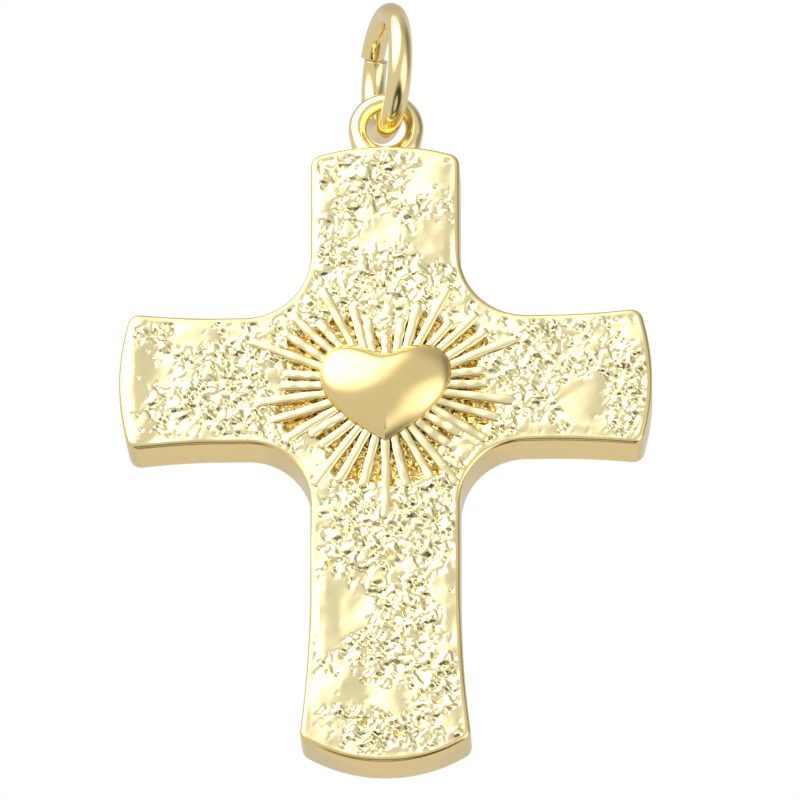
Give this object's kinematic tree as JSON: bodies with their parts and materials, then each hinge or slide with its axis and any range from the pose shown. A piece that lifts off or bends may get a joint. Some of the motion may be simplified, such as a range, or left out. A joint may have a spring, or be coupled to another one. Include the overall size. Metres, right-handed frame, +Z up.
{
  "type": "cross heart pendant",
  "caption": "Cast brass cross pendant with a raised heart and rays, a cast-on eyelet and an open jump ring.",
  "frame": {"origin": "centre of the jump ring's opening", "axes": "+Z up toward the top of the ring, +Y away from the viewer behind the flat back, +X to the viewer's right"},
  "size_m": [0.0222, 0.0058, 0.0339],
  "materials": {
    "gold_plated_brass": "polished"
  },
  "bodies": {
    "ring": {"jump_ring": "gold_plated_brass"},
    "cross": {"cross_casting": "gold_plated_brass"}
  },
  "joints": [
    {"name": "cross_swing", "type": "hinge", "parent": "ring", "child": "cross", "pos_m": [0, 0, -0.00132], "axis": [0.9613, 0.2756, 0], "range_deg": [-45, 45]}
  ]
}
